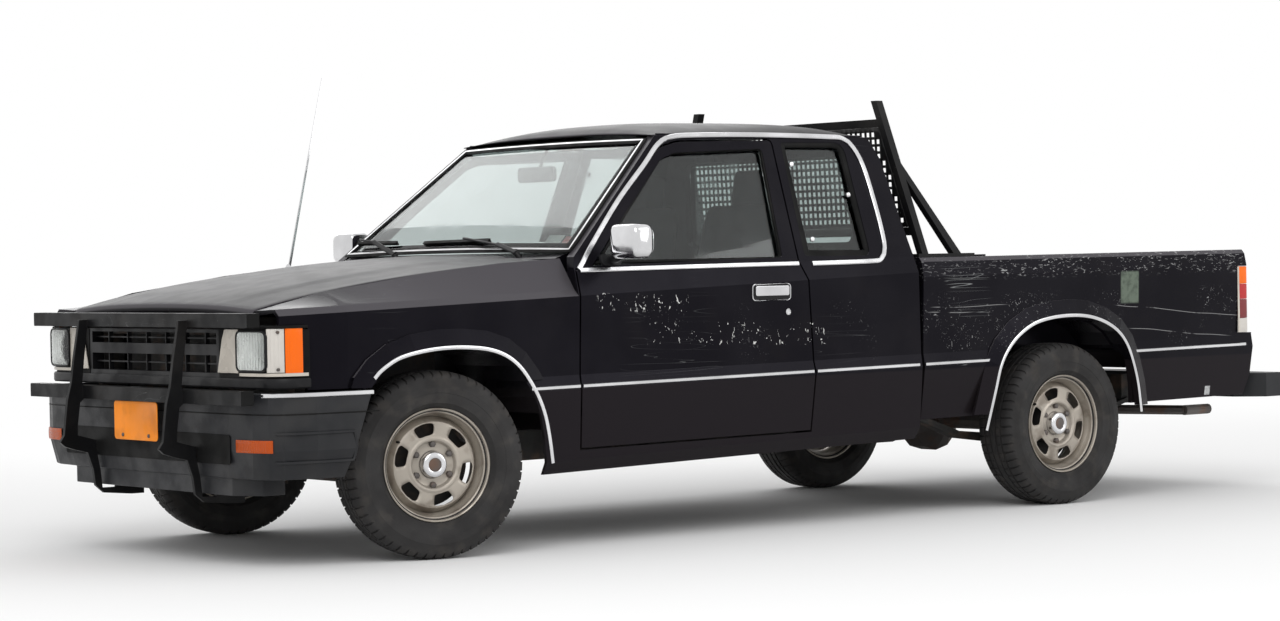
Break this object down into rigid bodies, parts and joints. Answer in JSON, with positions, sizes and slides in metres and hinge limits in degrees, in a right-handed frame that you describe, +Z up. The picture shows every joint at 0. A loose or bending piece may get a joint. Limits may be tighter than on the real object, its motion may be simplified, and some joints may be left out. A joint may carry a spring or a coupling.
{
  "type": "pickup truck",
  "caption": "Extended-cab compact pickup truck with opening doors, hood and tailgate, steered front wheels, a front brush guard and a rack behind the cab.",
  "frame": {"origin": "on the ground under the middle of the vehicle's length and width", "axes": "+X to the rear, +Y to the vehicle's right, +Z up"},
  "size_m": [5.162, 1.9686, 1.733],
  "materials": {
    "bare_steel": "bare steel",
    "black_paint": "black paint",
    "black_plastic": "black plastic",
    "cast_block": "cast block",
    "chassis_black": "chassis black",
    "chrome": "chrome",
    "clear_glass": "clear glass",
    "dark_plastic": "dark plastic",
    "exhaust_steel": "exhaust steel",
    "lamp_lens": "lamp lens",
    "orange_plate": "orange plate",
    "seat_cloth": "seat cloth",
    "tail_lens": "tail lens",
    "tyre_rubber": "tyre rubber",
    "wheel_silver": "wheel silver"
  },
  "bodies": {
    "root": {"antenna": "chrome", "bed_floor": "black_paint", "bedside_left": "black_paint", "bedside_right": "black_paint", "brush_guard": "chassis_black", "cab_back": "black_paint", "cab_floor": "black_paint", "cab_side_left": "black_paint", "cab_side_right": "black_paint", "chassis_frame": "chassis_black", "cowl": "black_paint", "dashboard": "dark_plastic", "driveline": "bare_steel", "engine": "cast_block", "exhaust": "exhaust_steel", "fender_left": "black_paint", "fender_right": "black_paint", "front_bumper": "dark_plastic", "front_plate": "orange_plate", "front_suspension": "chassis_black", "fuel_tank": "chassis_black", "grille": "black_plastic", "headlamps": "lamp_lens", "leaf_springs": "chassis_black", "quarter_windows": "clear_glass", "rack_frame": "chassis_black", "rack_mesh": "chassis_black", "radiator_support": "chassis_black", "rear_axle": "chassis_black", "rear_bumper": "chassis_black", "rear_window": "clear_glass", "roof_panel": "black_paint", "seats": "seat_cloth", "tail_lamps": "tail_lens", "windscreen": "clear_glass", "wipers": "black_plastic"},
    "door_left": {"door_left": "black_paint", "door_glass_left": "clear_glass", "mirror_left": "chrome"},
    "door_right": {"door_right": "black_paint", "door_glass_right": "clear_glass", "mirror_right": "chrome"},
    "hood": {"hood": "black_paint"},
    "tailgate": {"tailgate": "black_paint"},
    "knuckle_left": {"knuckle_left": "bare_steel"},
    "knuckle_right": {"knuckle_right": "bare_steel"},
    "tie_rod": {"tie_rod": "bare_steel"},
    "wheel_front_left": {"wheel_front_left": "wheel_silver", "tyre_front_left": "tyre_rubber"},
    "wheel_front_right": {"wheel_front_right": "wheel_silver", "tyre_front_right": "tyre_rubber"},
    "wheel_rear_left": {"wheel_rear_left": "wheel_silver", "tyre_rear_left": "tyre_rubber"},
    "wheel_rear_right": {"wheel_rear_right": "wheel_silver", "tyre_rear_right": "tyre_rubber"},
    "steering_wheel": {"steering_wheel": "black_plastic"}
  },
  "joints": [
    {"name": "door_left_hinge", "type": "hinge", "parent": "root", "child": "door_left", "pos_m": [-1.121, -0.802, 0.65], "axis": [0, 0, -1], "range_deg": [0, 68]},
    {"name": "door_right_hinge", "type": "hinge", "parent": "root", "child": "door_right", "pos_m": [-1.121, 0.802, 0.65], "axis": [0, 0, 1], "range_deg": [0, 68]},
    {"name": "hood_hinge", "type": "hinge", "parent": "root", "child": "hood", "pos_m": [-1.213, 0, 1.003], "axis": [0, 1, 0], "range_deg": [0, 50]},
    {"name": "tailgate_hinge", "type": "hinge", "parent": "root", "child": "tailgate", "pos_m": [2.35, 0, 0.605], "axis": [0, 1, 0], "range_deg": [0, 88]},
    {"name": "steer_left", "type": "hinge", "parent": "root", "child": "knuckle_left", "pos_m": [-1.712, -0.62, 0.322], "axis": [0, 0, 1], "range_deg": [-19.5, 44.5]},
    {"name": "steer_right", "type": "hinge", "parent": "root", "child": "knuckle_right", "pos_m": [-1.712, 0.62, 0.322], "axis": [0, 0, 1], "range_deg": [-19.5, 44.5]},
    {"name": "tie_rod_pivot", "type": "hinge", "parent": "knuckle_left", "child": "tie_rod", "pos_m": [-1.5968, -0.64554, 0.23], "axis": [0, 0, 1], "range_deg": [-44.5, 19.5]},
    {"name": "spin_front_left", "type": "hinge", "parent": "knuckle_left", "child": "wheel_front_left", "pos_m": [-1.73115, -0.7064, 0.322], "axis": [0.2164, 0.9763, 0], "continuous": true},
    {"name": "spin_front_right", "type": "hinge", "parent": "knuckle_right", "child": "wheel_front_right", "pos_m": [-1.69284, 0.7064, 0.322], "axis": [0.2164, 0.9763, 0], "continuous": true},
    {"name": "spin_rear_left", "type": "hinge", "parent": "root", "child": "wheel_rear_left", "pos_m": [1.273, -0.7085, 0.322], "axis": [0, 1, 0], "continuous": true},
    {"name": "spin_rear_right", "type": "hinge", "parent": "root", "child": "wheel_rear_right", "pos_m": [1.273, 0.7085, 0.322], "axis": [0, 1, 0], "continuous": true},
    {"name": "steering_wheel_turn", "type": "hinge", "parent": "root", "child": "steering_wheel", "pos_m": [-0.712, -0.37, 0.935], "axis": [0.9063, 0, 0.4226], "range_deg": [-331.5, 756.5]}
  ],
  "couplings": [
    {"joint": "steer_right", "follows": "steer_left", "ratio": 1},
    {"joint": "tie_rod_pivot", "follows": "steer_left", "ratio": -1},
    {"joint": "steering_wheel_turn", "follows": "steer_left", "ratio": 17}
  ]
}
